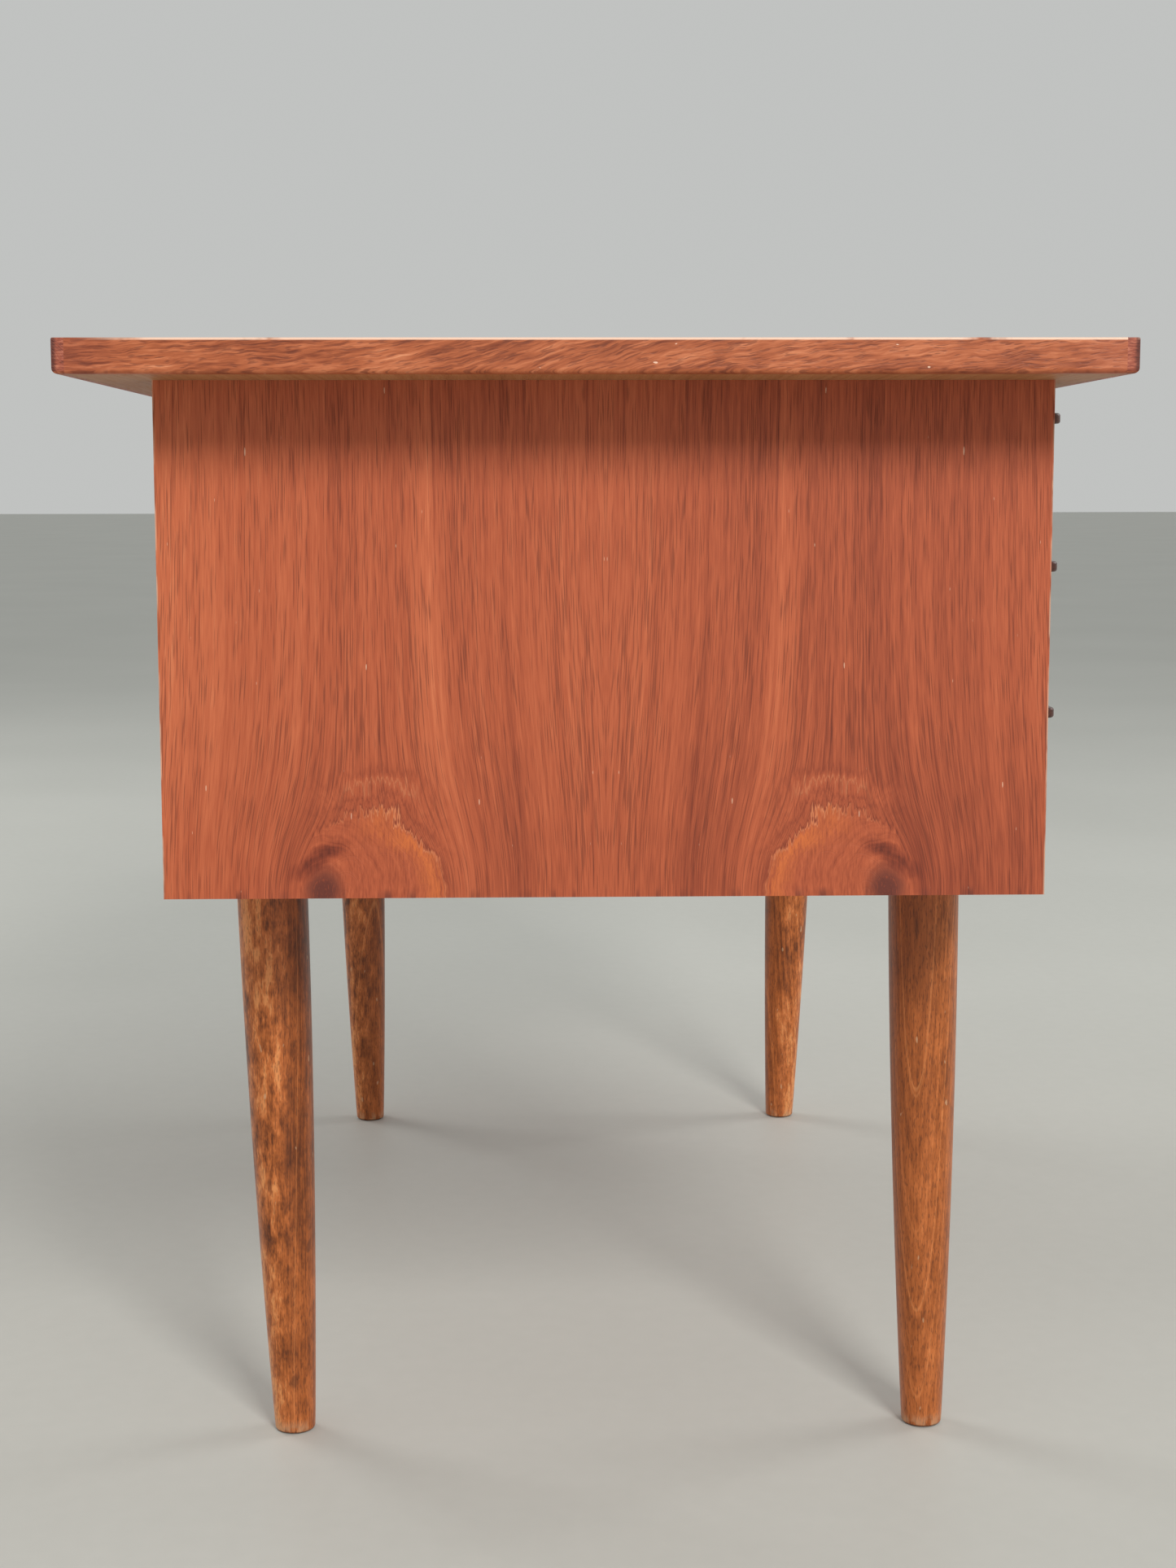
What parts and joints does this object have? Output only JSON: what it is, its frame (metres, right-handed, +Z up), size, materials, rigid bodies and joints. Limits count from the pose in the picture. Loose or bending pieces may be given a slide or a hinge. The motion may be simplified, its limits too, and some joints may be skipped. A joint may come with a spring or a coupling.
{
  "type": "writing desk",
  "caption": "Writing desk with a thin floating top over two drawer pedestals on turned, tapered legs; drawers slide out to the front.",
  "frame": {"origin": "on the floor, below the middle of the top", "axes": "+X along the desk, +Y from its front (drawers) to its back, +Z up"},
  "size_m": [1.315, 0.608, 0.73],
  "materials": {
    "teak_veneer": "oiled teak veneer, vertical grain on the pedestals, satin",
    "teak_solid": "oiled solid teak, satin, worn pale on the arris",
    "pull_teak": "dark solid teak, satin",
    "stained_beech": "golden-brown stained and lacquered beech",
    "drawer_wood": "bare beech, matt",
    "drawer_bottom": "thin plywood, matt",
    "steel": "bright zinc-plated stud"
  },
  "bodies": {
    "desk": {"top_board": "teak_veneer", "top_edging_front": "teak_solid", "top_edging_right": "teak_solid", "top_edging_back": "teak_solid", "top_edging_left": "teak_solid", "left_outer_side": "teak_veneer", "left_inner_side": "teak_veneer", "left_bottom_board": "teak_veneer", "left_top_rail": "teak_veneer", "left_back_board": "teak_veneer", "left_front_leg": "stained_beech", "left_front_leg_bolt": "steel", "left_back_leg": "stained_beech", "left_back_leg_bolt": "steel", "right_outer_side": "teak_veneer", "right_inner_side": "teak_veneer", "right_bottom_board": "teak_veneer", "right_top_rail": "teak_veneer", "right_back_board": "teak_veneer", "right_front_leg": "stained_beech", "right_front_leg_bolt": "steel", "right_back_leg": "stained_beech", "right_back_leg_bolt": "steel"},
    "left_drawer_1": {"left_drawer_1_front": "teak_veneer", "left_drawer_1_pull": "pull_teak", "left_drawer_1_side_l": "drawer_wood", "left_drawer_1_side_r": "drawer_wood", "left_drawer_1_back": "drawer_wood", "left_drawer_1_bottom": "drawer_bottom"},
    "left_drawer_2": {"left_drawer_2_front": "teak_veneer", "left_drawer_2_pull": "pull_teak", "left_drawer_2_side_l": "drawer_wood", "left_drawer_2_side_r": "drawer_wood", "left_drawer_2_back": "drawer_wood", "left_drawer_2_bottom": "drawer_bottom"},
    "left_drawer_3": {"left_drawer_3_front": "teak_veneer", "left_drawer_3_pull": "pull_teak", "left_drawer_3_side_l": "drawer_wood", "left_drawer_3_side_r": "drawer_wood", "left_drawer_3_back": "drawer_wood", "left_drawer_3_bottom": "drawer_bottom"},
    "right_drawer_1": {"right_drawer_1_front": "teak_veneer", "right_drawer_1_pull": "pull_teak", "right_drawer_1_side_l": "drawer_wood", "right_drawer_1_side_r": "drawer_wood", "right_drawer_1_back": "drawer_wood", "right_drawer_1_bottom": "drawer_bottom"},
    "right_drawer_2": {"right_drawer_2_front": "teak_veneer", "right_drawer_2_pull": "pull_teak", "right_drawer_2_side_l": "drawer_wood", "right_drawer_2_side_r": "drawer_wood", "right_drawer_2_back": "drawer_wood", "right_drawer_2_bottom": "drawer_bottom"},
    "right_drawer_3": {"right_drawer_3_front": "teak_veneer", "right_drawer_3_pull": "pull_teak", "right_drawer_3_side_l": "drawer_wood", "right_drawer_3_side_r": "drawer_wood", "right_drawer_3_back": "drawer_wood", "right_drawer_3_bottom": "drawer_bottom"}
  },
  "joints": [
    {"name": "left_drawer_1_slide", "type": "slide", "parent": "desk", "child": "left_drawer_1", "axis": [0, -1, 0], "range_m": [0, 0.36]},
    {"name": "left_drawer_2_slide", "type": "slide", "parent": "desk", "child": "left_drawer_2", "axis": [0, -1, 0], "range_m": [0, 0.36]},
    {"name": "left_drawer_3_slide", "type": "slide", "parent": "desk", "child": "left_drawer_3", "axis": [0, -1, 0], "range_m": [0, 0.36]},
    {"name": "right_drawer_1_slide", "type": "slide", "parent": "desk", "child": "right_drawer_1", "axis": [0, -1, 0], "range_m": [0, 0.36]},
    {"name": "right_drawer_2_slide", "type": "slide", "parent": "desk", "child": "right_drawer_2", "axis": [0, -1, 0], "range_m": [0, 0.36]},
    {"name": "right_drawer_3_slide", "type": "slide", "parent": "desk", "child": "right_drawer_3", "axis": [0, -1, 0], "range_m": [0, 0.36]}
  ]
}
